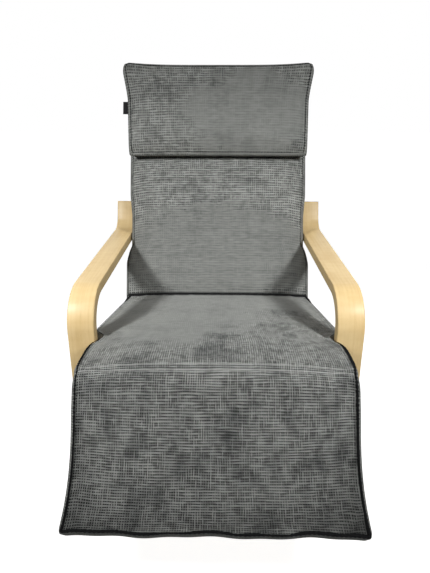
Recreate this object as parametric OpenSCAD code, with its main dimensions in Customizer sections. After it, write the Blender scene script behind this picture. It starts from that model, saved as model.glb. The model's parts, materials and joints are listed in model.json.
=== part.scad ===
// Reflexology lounge chair with a hanging leg rest.
// Bentwood side frames, a slatted bentwood seat-and-back frame, padded cushions and ratchet hinges.
// X runs across the chair, -Y is the front, +Z is up. Left is -X. Millimetres and degrees.

/* [Chair] */
// Width over the outer faces of the two side frames
chair_w = 670; // [600:1:740]
// Height of the crease between seat and back above the floor
crease_h = 360; // [345:1:400]
// Rise of the seat towards the knee
seat_tilt = 12; // [9:0.5:14]
// Recline of the back from upright
back_recline = 25.5; // [22:0.5:28]
// Hang of the leg rest from upright
leg_hang = 26; // [20:0.5:30]
// Length of the seat surface from crease to knee
seat_len = 572; // [540:1:610]
// Length of the back surface from crease to top
back_len = 684; // [660:1:720]
// Length of the leg rest surface from knee to bottom edge
leg_len = 318; // [300:1:360]

/* [Side frames] */
// Width of the bentwood strip
strip_w = 62; // [50:1:72]
// Thickness of the bentwood strip
strip_t = 24; // [22:0.5:28]
// Height of the arm's top face where it leaves the front bend
arm_h = 531; // [500:1:560]
// Fall of the arm towards the rear
arm_fall = 1.5; // [0:0.5:3]
// Lean of the front leg, foot forwards
leg_lean = 6.5; // [3:0.5:9]
// Centre line radius of the two front bends
front_bend_r = 84; // [70:1:100]
// Centre line radius where the arm turns up at the back
rear_bend_r = 62; // [50:1:75]
// Length of the upturned end beyond its corner
upturn_len = 94; // [88:1:110]
// Length of the floor runner behind its front corner
runner_len = 615; // [560:1:660]
// Thickness of the felt glides
glide_t = 3; // [2:0.5:5]
// Length of a felt glide
glide_len = 56; // [40:1:80]
// Width of a felt glide
glide_w = 46; // [30:1:49]

/* [Seat and back frame] */
// Width of the bent rails
rail_w = 32; // [28:1:36]
// Thickness of the bent rails
rail_t = 26; // [24:1:30]
// Centre line radius where seat rail turns into back rail
rail_bend_r = 90; // [80:1:100]
// Depth of the back rails' top end below the back cushion's top
back_rail_drop = 24; // [14:1:40]
// Length of seat rail in front of the leg's bolt, up to the hinge axis
knee_overhang = 116; // [110:1:130]
// Thickness of a slat
slat_t = 8; // [6:0.5:10]
// Width of a seat slat
seat_slat_w = 54; // [40:1:60]
// Width of a back slat
back_slat_w = 52; // [40:1:60]
// Width of a leg-rest slat
leg_slat_w = 32; // [24:1:36]
// Bow of a slat between its ends
slat_bow = 14; // [8:1:20]
// Depth of a slat's end in its rail
slat_seat = 8; // [6:1:10]
// Thickness of the cross bars
bar_t = 22; // [18:1:24]
// Width of the seat front bar and the leg end bar
bar_w = 40; // [30:1:44]
// Width of the bowed bar at the top of the back
top_bar_w = 56; // [40:1:64]
// Width of the two stretchers between the side frames
stretcher_w = 60; // [50:1:70]
// Height of the front stretcher's centre above the floor
stretcher_h = 170; // [150:1:200]

/* [Cushions] */
// Thickness of the seat, back and leg cushions
cushion_t = 104; // [90:1:110]
// Gap between each side frame and the cushions' sides
cushion_side_gap = 5; // [3:0.5:12]
// Crown of the cushions' upper panel
crown = 12; // [4:1:18]
// Roll of the upper panel down to its seams
seam_roll = 8; // [4:1:14]
// Bulge of the boxing between its seams
boxing_bulge = 3; // [1:0.5:4]
// Outer radius of the bend over the knee
knee_r = 46; // [30:1:60]
// Flare of the leg cushion's sides at its bottom edge
leg_flare = 18; // [4:1:24]
// Reach of the ears at the free corners
ear_reach = 10; // [4:1:14]
// Thickness of the head pillow
pillow_t = 46; // [36:1:60]
// Height of the head pillow along the back
pillow_len = 260; // [230:1:290]
// Crown of the head pillow
pillow_crown = 9; // [4:1:14]
// Extra half-width of the head pillow at its top corners
pillow_flare = 16; // [0:1:24]
// Width of the bare side tab beyond the pillow
tab_w = 15; // [10:1:20]
// Height of the bare side tab
tab_len = 38; // [25:1:50]
// Distance of the tab's middle below the pillow's top
tab_drop = 115; // [90:1:170]
// Thickness of the tab, the flap and the straps
web_t = 1.5; // [1:0.1:2]
// Width of the cushion straps
strap_w = 30; // [20:1:40]

/* [Ratchet hinges] */
// Thickness of the seat plates
plate_t = 2.5; // [2:0.1:3]
// Thickness of the toothed leg plate
tooth_plate_t = 5; // [4:0.1:6]
// Radius of the seat plates round the pivot
plate_r = 22; // [21:0.5:24]
// Half width of the seat plates' arms
arm_r = 12; // [10:0.5:13]
// Half width of the leg plate's arm
leg_arm_r = 11; // [9:0.5:13]
// Reach of the seat plates from the pivot to their last screw
seat_arm_len = 80; // [76:1:84]
// Reach of the leg plate from the pivot to its last screw
leg_arm_len = 88; // [70:1:100]
// Radius over the teeth
tooth_tip_r = 20; // [19:0.1:20.5]
// Depth of a tooth
tooth_depth = 2.3; // [1.5:0.1:3]
// Angle between two notches, one step of the leg rest
notch_step = 10; // [8:0.5:12]
// Number of notches
notch_count = 7; // [4:1:8]
// Diameter of the hinge's pivot pin
pivot_d = 10; // [8:0.5:12]
// Diameter of the pawl's pin
pawl_pin_d = 6; // [5:0.5:7]
// Wall of the pawl round its pin
pawl_wall = 2.2; // [1.8:0.1:2.5]
// Thickness of the pawl
pawl_t = 3.2; // [2.5:0.1:3.4]
// Thickness of the spring wire
wire_t = 1.2; // [0.8:0.1:1.2]
// Diameter of the hinge screws
screw_d = 5; // [4:0.5:6]
// Wall of the sleeves round the seat plates' screws
spacer_wall = 3.5; // [2:0.1:4]
// Length of the hinge screws in the wood
screw_grip = 16; // [12:1:17]

/* [Fasteners] */
// Diameter of the frame bolts
bolt_d = 8; // [6:0.5:8]
// Diameter of a frame bolt's head
bolt_head_d = 14; // [12:0.5:15]
// Height of a frame bolt's head
bolt_head_h = 4; // [3:0.5:5]
// Depth of the bolt heads below the wood
bolt_sink = 1; // [0.5:0.5:3]
// Depth of a frame bolt in the piece that holds its nut
bolt_grip = 21; // [18:1:22]
// Diameter of a barrel nut
nut_d = 12; // [11:0.5:13]
// Length of a barrel nut
nut_l = 16; // [14:1:17]
// Diameter of a dowel
dowel_d = 8; // [6:1:9]
// Length of a dowel, half in each piece
dowel_l = 30; // [24:1:32]

/* [Hidden] */
$fn = 72;

// Clearances: soft pieces beside hard ones, slats and bars under them, loose fits, running fits;
// last, the overrun of cuts
soft_gap = 0.3;
slat_gap = 3;
loose = 0.2;
running = 0.05;
over = 1;
// Overlap of a straight stretch with the bend that follows it, and how far a bend stands proud of it
weld = 0.2;
swell = 0.02;

// Widths
frame_half = chair_w / 2 - strip_w;
rail_out = frame_half - running;
rail_in = rail_out - rail_w;
leg_rail_out = frame_half + plate_t + loose;
leg_rail_in = leg_rail_out - rail_w;

// Side view: turns and directions as [y, z]
heel_turn = 90 - back_recline + seat_tilt;
knee_turn = 90 + seat_tilt - leg_hang;
seat_dir = [-cos(seat_tilt), sin(seat_tilt)];
seat_up = [sin(seat_tilt), cos(seat_tilt)];
back_dir = [sin(back_recline), cos(back_recline)];
back_rear = [cos(back_recline), -sin(back_recline)];
leg_dir = [-sin(leg_hang), -cos(leg_hang)];

back_rail_len = back_len - back_rail_drop;
// Depth of the rails' centre line under the cushions' upper panel
rail_drop = cushion_t + soft_gap + rail_t / 2;
knee_trim = rail_drop * tan(knee_turn / 2);
heel_trim = rail_drop * tan(heel_turn / 2);

// The crease is placed so that the whole chair is centred on Y
front_reach = seat_len * cos(seat_tilt) + leg_len * sin(leg_hang) + ear_reach * sin(leg_hang);
rear_reach = back_rail_len * back_dir[0] + (rail_drop + rail_t / 2) * back_rear[0];
crease = [(front_reach - rear_reach) / 2, crease_h];
knee = crease + seat_len * seat_dir;
axis = knee - knee_trim * seat_dir - rail_drop * seat_up;
heel = crease - heel_trim * seat_dir - rail_drop * seat_up;
rail_front_gap = rail_t / 2 + slat_gap;
rail_front = axis - rail_front_gap * seat_dir;
rail_top = crease + back_rail_len * back_dir + rail_drop * back_rear;

// Side frame: corners of the strip's centre line
leg_bolt = axis - knee_overhang * seat_dir;
leg_slope = tan(leg_lean);
arm_slope = tan(arm_fall);
strip_floor = glide_t + strip_t / 2;
function on_leg_line(z) = [leg_bolt[0] + (z - leg_bolt[1]) * leg_slope, z];
toe = on_leg_line(strip_floor);
arm_front = on_leg_line(arm_h - strip_t / 2 / cos(arm_fall));
arm_rear_y = let(rise = arm_front[1] - heel[1], run = tan(back_recline))
  (heel[0] + run * (rise + arm_slope * arm_front[0])) / (1 + run * arm_slope);
arm_rear = [arm_rear_y, arm_front[1] - arm_slope * (arm_rear_y - arm_front[0])];
upturn_top = arm_rear + upturn_len * back_dir;
runner_end = toe + [runner_len, 0];

// Places along the back of the arm bolts, measured from the crease
upturn_at = norm(arm_rear - heel) - heel_trim;
arm_bolts = [upturn_at + upturn_len - bolt_head_d, upturn_at + upturn_len - bolt_head_d * 2.8];

// Slats
seat_slats = 4;
back_slats = 6;
leg_slats = 3;
seat_rail_start = -(seat_len - knee_trim) + rail_front_gap;
slat_z = -cushion_t - slat_gap - slat_t / 2;
function spread(first, last, count, i) = first + (last - first) * i / (count - 1);
function seat_slat_y(i) = spread(-seat_slat_w * 0.6, seat_rail_start + bar_w + seat_slat_w, seat_slats, i);
function back_slat_y(i) = spread(back_slat_w, back_rail_len - top_bar_w - back_slat_w, back_slats, i);
leg_rail_start = -knee_trim - plate_r - slat_gap;
leg_rail_end = -leg_len + dowel_d;
function leg_slat_y(i) = spread(leg_rail_start - leg_slat_w * 0.7, leg_rail_end + bar_w + leg_slat_w * 0.8,
  leg_slats, i);

// Hinge layers outwards from the rail's face
tooth_x = frame_half + plate_t + loose;
outer_x = tooth_x + tooth_plate_t + loose;
hinge_out = outer_x + plate_t;
spring_x = tooth_x + pawl_t + loose;

// Pawl, in the seat's own directions about the pivot: [back along the seat, up from it]
notch_root_r = tooth_tip_r - tooth_depth;
pawl_angle = -20;
notch_low = -notch_step * 0.25;
notch_high = notch_step * 0.75;
pawl_eye_r = pawl_pin_d / 2 + pawl_wall;
pawl_pivot = [tooth_tip_r + pawl_eye_r + loose * 4, pawl_eye_r * 2.1];
first_screw = seat_arm_len * 0.55;
spacer_r = screw_d / 2 + spacer_wall;
stub_r = wire_t;

// Colours
wood = [0.90, 0.79, 0.60];
inner_wood = [0.84, 0.70, 0.50];
fabric = [0.50, 0.51, 0.49];
fabric_dark = [0.16, 0.16, 0.16];
steel = [0.68, 0.69, 0.70];
felt = [0.20, 0.19, 0.18];

function polar(r, a) = [r * cos(a), r * sin(a)];
function turn_at(a, b, c) = let(p = b - a, q = c - b) atan2(p[0] * q[1] - p[1] * q[0], p * q);
function trim_at(pts, radii, i) = (i == 0 || i == len(pts) - 1) ? 0
  : radii[i] * tan(abs(turn_at(pts[i - 1], pts[i], pts[i + 1])) / 2);

// Turns an outline of [y, z] points, drawn flat, into a solid that starts at x and grows outwards
module side(x) translate([x, 0, 0]) rotate([90, 0, 90]) children();
module mirrored() mirror([1, 0, 0]) children();
module both() {
  children();
  mirrored() children();
}

// Three work planes on the cushions' upper panels: +y runs back, up or knee-wards, +z out of the panel
module on_seat() translate([0, crease[0], crease[1]]) rotate([-seat_tilt, 0, 0]) children();
module on_back() translate([0, crease[0], crease[1]]) rotate([90 - back_recline, 0, 0]) children();
module on_leg() translate([0, knee[0], knee[1]]) rotate([90 - leg_hang, 0, 0]) children();
// The hinge axis in the seat's directions
module on_axis() translate([0, axis[0], axis[1]]) rotate([-seat_tilt, 0, 0]) children();

// A board bent along a run of corners, each with its own centre line radius
module bent_board(pts, radii, thick, wide) {
  last = len(pts) - 1;
  for (i = [0:last - 1]) {
    run = pts[i + 1] - pts[i];
    head = i == 0 ? 0 : trim_at(pts, radii, i) - weld;
    tail = i == last - 1 ? 0 : trim_at(pts, radii, i + 1) - weld;
    translate([pts[i][0], pts[i][1], 0]) rotate(atan2(run[1], run[0])) {
      translate([head, -thick / 2, 0]) cube([norm(run) - head - tail, thick, wide]);
      if (i < last - 1) {
        turn = turn_at(pts[i], pts[i + 1], pts[i + 2]);
        radius = radii[i + 1];
        translate([norm(run) - tail - weld, sign(turn) * radius, 0])
          rotate(turn > 0 ? -90 : 90 + turn)
            rotate_extrude(angle = abs(turn)) translate([radius - thick / 2 - swell, -swell])
              square([thick + 2 * swell, wide + 2 * swell]);
      }
    }
  }
}

// A slat or bar bowed away from the cushion; half is the reach of its ends, grow enlarges it for a mortise
module bowed(half, wide, thick, grow = 0) {
  radius = (half * half + slat_bow * slat_bow) / 2 / slat_bow;
  sweep = asin(half / radius) + atan(grow / radius);
  translate([0, wide / 2 + grow, radius - slat_bow]) rotate([90, 0, 0]) rotate(-90 - sweep)
    rotate_extrude(angle = 2 * sweep, $fn = 360) translate([radius - thick / 2 - grow, 0])
      square([thick + 2 * grow, wide + 2 * grow]);
}

// Outline through two round ends
module link(r1, r2, reach) {
  lean = acos((r1 - r2) / reach);
  end = [reach, 0];
  circle(r1);
  translate(end) circle(r2);
  polygon([polar(r1 - swell, lean), polar(r1 - swell, -lean), end + polar(r2 - swell, -lean),
    end + polar(r2 - swell, lean)]);
}

// Bolts through the side frame, pointing along X; at is [y, z]
module bolt_bore(at, grip = bolt_grip) translate([0, at[0], at[1]]) rotate([0, 90, 0]) {
  translate([0, 0, frame_half - grip - over]) cylinder(d = bolt_d + 2 * loose, h = strip_w + grip + 2 * over);
  translate([0, 0, chair_w / 2 - bolt_head_h - bolt_sink])
    cylinder(d = bolt_head_d + 2 * loose, h = bolt_head_h + bolt_sink + over);
}
module bolt(at) translate([0, at[0], at[1]]) rotate([0, 90, 0]) difference() {
  union() {
    translate([0, 0, frame_half - bolt_grip])
      cylinder(d = bolt_d, h = strip_w + bolt_grip - bolt_sink - bolt_head_h / 2);
    translate([0, 0, chair_w / 2 - bolt_head_h - bolt_sink]) cylinder(d = bolt_head_d, h = bolt_head_h);
  }
  translate([0, 0, chair_w / 2 - bolt_head_h / 2 - bolt_sink]) cylinder(d = bolt_d * 0.7, h = bolt_head_h, $fn = 6);
}
nut_x = frame_half - bolt_grip + nut_d / 2 + bolt_sink / 2;
function back_point(y) = crease + y * back_dir + rail_drop * back_rear;
bolt_points = [
  back_point(arm_bolts[0]), back_point(arm_bolts[1]), leg_bolt, on_leg_line(stretcher_h),
  runner_end - [stretcher_w, 0]
];

// A barrel nut across its bolt, and the blind hole that it goes in from the outside of the rail
module nut_hole(thick) translate([nut_x, 0, -thick / 2 - over]) cylinder(d = nut_d + 2 * loose,
  h = thick / 2 + nut_l / 2 + over + loose);
module nut() difference() {
  translate([nut_x, 0, -nut_l / 2]) cylinder(d = nut_d, h = nut_l);
  translate([nut_x - nut_d, 0, 0]) rotate([0, 90, 0]) cylinder(d = bolt_d + 2 * loose, h = 2 * nut_d);
}
module at_leg_bolt() translate([0, leg_bolt[0], leg_bolt[1]]) rotate([-seat_tilt, 0, 0]) children();
module at_stretcher() translate([0, on_leg_line(stretcher_h)[0], stretcher_h]) rotate([-90 - leg_lean, 0, 0])
  children();
module at_rear_stretcher() translate([0, runner_end[0] - stretcher_w, strip_floor]) children();
module at_nuts() {
  for (y = arm_bolts) on_back() translate([0, y, -rail_drop]) children();
  at_leg_bolt() children();
  at_stretcher() children();
  at_rear_stretcher() children();
}

module side_frame() color(wood) difference() {
  side(frame_half) bent_board([runner_end, toe, arm_front, arm_rear, upturn_top],
    [0, front_bend_r, front_bend_r, rear_bend_r, 0], strip_t, strip_w);
  for (at = bolt_points) bolt_bore(at);
  stretcher_dowels(running);
}

module seat_back_rail() color(inner_wood) difference() {
  side(rail_in) bent_board([rail_front, heel, rail_top], [0, rail_bend_r, 0], rail_t, rail_w);
  for (i = [0:seat_slats - 1]) on_seat() translate([0, seat_slat_y(i), slat_z])
    bowed(rail_in + slat_seat, seat_slat_w, slat_t, loose);
  for (i = [0:back_slats - 1]) on_back() translate([0, back_slat_y(i), slat_z])
    bowed(rail_in + slat_seat, back_slat_w, slat_t, loose);
  for (i = [0:2]) bolt_bore(bolt_points[i]);
  for (y = arm_bolts) on_back() translate([0, y, -rail_drop]) nut_hole(rail_t);
  at_leg_bolt() nut_hole(rail_t);
  seat_dowels(running);
  on_back() translate([0, back_rail_len - top_bar_w * 0.7, -rail_drop])
    bowed(rail_in + slat_seat, top_bar_w, bar_t - slat_t, loose);
  hinge_screw_places() rotate([0, 90, 0]) translate([0, 0, frame_half - screw_grip - running])
    cylinder(d = screw_d + 2 * running, h = screw_grip + over);
}

module dowel_row(xs, ys, z, grow = 0) for (x = xs) for (y = ys) translate([x - dowel_l / 2 - grow, y, z])
  rotate([0, 90, 0]) cylinder(d = dowel_d + 2 * grow, h = dowel_l + 2 * grow);
module seat_dowels(grow = 0) on_seat() dowel_row([-rail_in, rail_in],
  [seat_rail_start + bar_w * 0.25, seat_rail_start + bar_w * 0.75], -rail_drop - dowel_d / 4, grow);
module frame_dowels() color(inner_wood) {
  seat_dowels();
  stretcher_dowels();
}
module stretcher_dowels(grow = 0) {
  at_stretcher() dowel_row([-frame_half, frame_half], [-stretcher_w / 3, stretcher_w / 3], 0, grow);
  at_rear_stretcher() dowel_row([-frame_half, frame_half], [-stretcher_w / 3, stretcher_w / 3], 0, grow);
}

module cross_bar(half, y, z, wide, thick) translate([-half, y, z - thick / 2]) cube([2 * half, wide, thick]);
module seat_front_bar() color(inner_wood) difference() {
  on_seat() cross_bar(rail_in, seat_rail_start, -rail_drop, bar_w, bar_t);
  seat_dowels(running);
}
module back_top_bar() color(inner_wood) on_back() translate([0, back_rail_len - top_bar_w * 0.7, -rail_drop])
  bowed(rail_in + slat_seat, top_bar_w, bar_t - slat_t);

module stretcher() difference() {
  cross_bar(frame_half, -stretcher_w / 2, 0, stretcher_w, bar_t);
  both() {
    nut_hole(bar_t);
    translate([nut_x - nut_d, 0, 0]) rotate([0, 90, 0]) cylinder(d = bolt_d + 2 * loose, h = rail_w + nut_d);
  }
}
module front_stretcher() color(inner_wood) difference() {
  at_stretcher() stretcher();
  stretcher_dowels(running);
}
module rear_stretcher() color(inner_wood) difference() {
  at_rear_stretcher() stretcher();
  stretcher_dowels(running);
}

module seat_slat(i) color(inner_wood) on_seat() translate([0, seat_slat_y(i), slat_z])
  bowed(rail_in + slat_seat, seat_slat_w, slat_t);
module back_slat(i) color(inner_wood) on_back() translate([0, back_slat_y(i), slat_z])
  bowed(rail_in + slat_seat, back_slat_w, slat_t);
module leg_slat(i, grow = 0) color(inner_wood) on_leg() translate([0, leg_slat_y(i), slat_z])
  bowed(leg_rail_in + slat_seat, leg_slat_w, slat_t, grow);

module frame_bolts() color(steel) both() for (at = bolt_points) bolt(at);
module barrel_nuts() color(steel) both() at_nuts() nut();
module floor_glides() color(felt) both() for (y = [toe[0] + front_bend_r, runner_end[0] - glide_len])
  translate([frame_half + (strip_w - glide_w) / 2, y, 0]) cube([glide_w, glide_len, glide_t]);

// Places of the screws and pins on the right-hand hinge
module hinge_screw_places() on_axis() for (y = [first_screw, seat_arm_len]) translate([0, y, 0]) children();
module leg_screw_places() on_leg() for (y = [leg_arm_len * 0.57, leg_arm_len])
  translate([0, -knee_trim - y, -rail_drop]) children();
module disc(x, r, h) translate([x, 0, 0]) rotate([0, 90, 0]) cylinder(r = r, h = h);

module seat_plate(x) color(steel) difference() {
  on_axis() side(x) linear_extrude(plate_t) link(plate_r, arm_r, seat_arm_len);
  on_axis() disc(x - over, pivot_d / 2 + running, plate_t + 2 * over);
  on_axis() translate([0, pawl_pivot[0], pawl_pivot[1]]) disc(x - over, pawl_pin_d / 2 + running,
    plate_t + 2 * over);
  hinge_screw_places() disc(x - over, screw_d / 2 + running, plate_t + 2 * over);
}

// One notch: a face along the radius that takes the load, and a ramp that lifts the pawl
module notch() polygon([
  polar(notch_root_r, notch_low), polar(tooth_tip_r + over, notch_low), polar(tooth_tip_r + over, notch_high)
]);
module leg_ratchet_plate() color(steel) difference() {
  on_axis() side(tooth_x) linear_extrude(tooth_plate_t) difference() {
    union() {
      circle(tooth_tip_r);
      rotate(knee_turn - 180) link(notch_root_r - pawl_wall, leg_arm_r, leg_arm_len);
    }
    circle(pivot_d / 2 + running);
    for (i = [0:notch_count - 1]) rotate(pawl_angle + i * notch_step) notch();
  }
  leg_screw_places() disc(tooth_x - over, screw_d / 2 + running, tooth_plate_t + 2 * over);
}
nose = polar(notch_root_r + loose * 2, pawl_angle + notch_low + atan(loose / notch_root_r));
nose_back = polar(tooth_tip_r + tooth_depth * 1.4, pawl_angle + notch_low + atan(loose / tooth_tip_r));
nose_front = polar(tooth_tip_r + loose * 4, pawl_angle + notch_high * 0.6);
module pawl() color(steel) on_axis() {
  difference() {
    side(tooth_x) linear_extrude(pawl_t) {
      translate(pawl_pivot) circle(pawl_eye_r);
      polygon([nose, nose_front, pawl_pivot - [pawl_eye_r - running, 0], pawl_pivot + [pawl_eye_r - running, 0],
        nose_back + [tooth_depth * 1.2, tooth_depth * 0.5], nose_back]);
    }
    translate([0, pawl_pivot[0], pawl_pivot[1]]) disc(tooth_x - over, pawl_pin_d / 2 + running, pawl_t + 2 * over);
  }
  translate([0, stub[0], stub[1]]) disc(tooth_x + pawl_t - running, stub_r, wire_t + loose * 1.5);
}
stub = (nose_back + pawl_pivot) / 2 + [stub_r, -stub_r];
wire_r = pawl_pin_d / 2 + loose + wire_t;
module bar_between(a, b, wide) let(run = b - a) translate(a) rotate(atan2(run[1], run[0]))
  translate([0, -wide / 2]) square([norm(run), wide]);
module pawl_spring() color(steel) on_axis() side(spring_x) linear_extrude(wire_t) difference() {
  union() {
    translate(pawl_pivot) circle(wire_r);
    bar_between(pawl_pivot + [wire_r - wire_t / 2, 0], stub + [stub_r + wire_t / 2 + running, -stub_r * 3], wire_t);
    bar_between(pawl_pivot + [0, wire_r - wire_t / 2], [first_screw, spacer_r + wire_t / 2 + running * 4], wire_t);
  }
  translate(pawl_pivot) circle(wire_r - wire_t);
}

module hinge_pivot_pins() color(steel) both() on_axis() {
  disc(frame_half - plate_t + running, pivot_d * 0.8, plate_t - 2 * running);
  disc(frame_half - plate_t + running, pivot_d / 2, hinge_out - frame_half + plate_t);
  disc(hinge_out + running, pivot_d * 0.8, plate_t);
}
module pawl_pins() color(steel) both() on_axis() translate([0, pawl_pivot[0], pawl_pivot[1]]) {
  disc(frame_half + running, pawl_pin_d / 2, hinge_out - frame_half + loose);
  disc(hinge_out + running, pawl_pin_d * 0.85, plate_t * 0.6);
}
module hinge_spacers() color(steel) both() hinge_screw_places() difference() {
  disc(frame_half + plate_t, spacer_r, outer_x - frame_half - plate_t);
  disc(frame_half + plate_t - over, screw_d / 2 + running, outer_x - frame_half - plate_t + 2 * over);
}
module screw(face) difference() {
  union() {
    disc(face, screw_d, screw_d / 2);
    disc(face - tooth_plate_t - screw_grip, screw_d / 2, tooth_plate_t + screw_grip + screw_d / 4);
  }
  translate([face + screw_d / 4, 0, 0]) rotate([0, 90, 0]) cylinder(d = screw_d * 0.6, h = screw_d, $fn = 6);
}
module hinge_seat_screws() color(steel) both() hinge_screw_places() {
  screw(hinge_out);
  disc(frame_half - screw_grip, screw_d / 2, hinge_out - frame_half + screw_grip);
}
module hinge_leg_screws() color(steel) both() leg_screw_places() screw(tooth_x + tooth_plate_t);

module leg_rail() color(inner_wood) difference() {
  on_leg() translate([leg_rail_in, leg_rail_end, -rail_drop - rail_t / 2])
    cube([rail_w, leg_rail_start - leg_rail_end, rail_t]);
  for (i = [0:leg_slats - 1]) leg_slat(i, loose);
  leg_dowel_set(running);
  leg_screw_places() disc(leg_rail_out - screw_grip - running, screw_d / 2 + running, screw_grip + over);
}
module leg_dowel_set(grow = 0) on_leg() dowel_row([-leg_rail_in, leg_rail_in],
  [leg_rail_end + bar_w * 0.25, leg_rail_end + bar_w * 0.75], -rail_drop, grow);
module leg_dowels() color(inner_wood) leg_dowel_set();
module leg_end_bar() color(inner_wood) difference() {
  on_leg() cross_bar(leg_rail_in, leg_rail_end, -rail_drop, bar_w, bar_t);
  leg_dowel_set(running);
}

// Padded pieces. A cross-section runs round the pad: flat underside, bulged boxing, crowned panel.
top_count = 12;
function panel(x, half, thick, roll, rise) = thick - roll + (roll + rise) * (1 - pow(abs(x) / half, 4));
function section(half, thick, roll, rise, bulge) = concat(
  [[-half + roll / 2, 0], [0, 0], [half - roll / 2, 0], [half, roll * 0.7], [half + bulge, thick * 0.45],
    [half, thick - roll * 1.6]],
  [for (i = [0:top_count]) let(x = (half - roll * 0.4) * (1 - 2 * i / top_count))
    [x, panel(x, half, thick, roll, rise)]],
  [[-half, thick - roll * 1.6], [-half - bulge, thick * 0.45], [-half, roll * 0.7]]
);
ring = top_count + 10;
function ring_middle(r) = (r[1] + r[6 + top_count / 2]) / 2;
// Skins a row of rings and closes each end with a fan about its middle
module skin(rings, first = [], last = []) {
  n = len(rings);
  points = [for (r = rings) for (p = r) p];
  middles = [len(first) > 0 ? first : ring_middle(rings[0]), len(last) > 0 ? last : ring_middle(rings[n - 1])];
  polyhedron(concat(points, middles), concat(
    [for (i = [0:n - 2]) for (j = [0:ring - 1]) let(a = i * ring + j, b = i * ring + (j + 1) % ring)
      [a, b, b + ring]],
    [for (i = [0:n - 2]) for (j = [0:ring - 1]) let(a = i * ring + j, b = i * ring + (j + 1) % ring)
      [a, b + ring, a + ring]],
    [for (j = [0:ring - 1]) [n * ring, (j + 1) % ring, j]],
    [for (j = [0:ring - 1]) [n * ring + 1, (n - 1) * ring + j, (n - 1) * ring + (j + 1) % ring]]
  ), convexity = 4);
}
// Room in the corner of seat and back: the mitre of the two pads, rounded by the bent rail
bend_start = heel_trim - rail_bend_r * tan(heel_turn / 2);
bend_depth = rail_drop - rail_bend_r;
bend_in = rail_bend_r - rail_t / 2 - soft_gap;
function heel_room(depth) = min(depth * tan(heel_turn / 2), depth < bend_depth ? seat_len
  : bend_start + sqrt(max(0, bend_in * bend_in - pow(depth - bend_depth, 2)))) - soft_gap;
pad_base = -cushion_t;
heel_depth = cushion_t * 0.75;
cushion_half = frame_half - cushion_side_gap - boxing_bulge;
pad_rows = 9;

module seat_cushion() color(fabric) on_seat() skin([for (i = [0:pad_rows])
  let(v = i / pad_rows, rise = crown * (1 - pow(v, 4)),
    start = -(seat_len - knee_trim) + soft_gap / 2,
    sec = section(cushion_half, cushion_t, seam_roll, rise, boxing_bulge))
  [for (p = sec) let(z = p[1] + pad_base, end = heel_room(-z)) [p[0], start + (end - start) * v, z]]],
  last = [0, heel_room(heel_depth), -heel_depth]);

back_free = back_len - pillow_len;
function back_rise(y) = y >= back_free ? 0 : crown * sin(180 * y / back_free);
function end_round(v, edge) = v > edge ? 1 - pow((v - edge) / (1 - edge), 2) : 1;
function back_share(i) = i < pad_rows ? i / pad_rows * back_free / back_len
  : (back_free + (back_len - back_free) * (i - pad_rows) / 5) / back_len;
module back_cushion() color(fabric) on_back() skin([for (i = [0:pad_rows + 5])
  let(v = back_share(i), y = back_len * v,
    sec = section(cushion_half - (i == pad_rows + 5 ? seam_roll / 2 : 0), cushion_t, seam_roll, back_rise(y),
      boxing_bulge))
  [for (p = sec) let(z = p[1] + pad_base, start = -heel_room(-z),
      pinch = i == pad_rows + 5 ? (p[1] - cushion_t / 2) * (1 - seam_roll * 2 / cushion_t) + cushion_t / 2 : p[1],
      full = back_len - (i == pad_rows + 4 ? seam_roll : 0), share = i == pad_rows + 4 ? 1 : v)
    [p[0], start + (full - start) * share, pinch + pad_base]]],
  first = [0, -heel_room(heel_depth), -heel_depth]);

// Outer face over the knee: two flats and the round between them, seen from the hinge axis
round_hub = (rail_drop - knee_r) / cos(knee_turn / 2);
round_half = knee_turn / 2 - atan((rail_drop - knee_r) * tan(knee_turn / 2) / rail_drop);
function knee_out(a) = let(off = abs(a - knee_turn / 2))
  off < round_half ? round_hub * cos(off) + sqrt(knee_r * knee_r - pow(round_hub * sin(off), 2))
  : rail_drop / cos(knee_turn / 2 - off);
knee_rows = 10;
module knee_fold() color(fabric) translate([0, axis[0], axis[1]]) skin([for (i = [0:knee_rows])
  let(gap = atan(soft_gap / rail_drop), a = gap + (knee_turn - 2 * gap) * (1 - i / knee_rows),
    far = knee_out(a), near = rail_drop - cushion_t,
    sec = section(cushion_half, far - near, seam_roll, crown, boxing_bulge))
  [for (p = sec) let(at = polar(near + p[1], 90 - seat_tilt + a)) [p[0], at[0], at[1]]]]);

module leg_cushion() color(fabric) on_leg() skin([for (i = [0:pad_rows + 2])
  let(v = min(i, pad_rows) / pad_rows, low = i == pad_rows + 2,
    half = cushion_half + leg_flare * pow(1 - i / (pad_rows + 2), 2) + (i < 2 ? ear_reach / 3 : 0),
    rise = crown * (1 - pow(1 - i / (pad_rows + 2), 4)),
    y = i == 0 ? -leg_len : i == 1 ? -leg_len + seam_roll
      : -leg_len + seam_roll + (leg_len - knee_trim - seam_roll - soft_gap) * (i - 1) / (pad_rows + 1),
    sec = section(half - (i == 0 ? seam_roll / 2 : 0), cushion_t, seam_roll, rise, boxing_bulge))
  [for (p = sec) let(
      pinch = i == 0 ? (p[1] - cushion_t / 2) * (1 - seam_roll * 2 / cushion_t) + cushion_t / 2 : p[1],
      drop = i < 3 ? ear_reach * pow(abs(p[0]) / half, 8) * (1 - i / 3) : 0)
    [p[0], y - drop, pinch + pad_base]]]);

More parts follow.
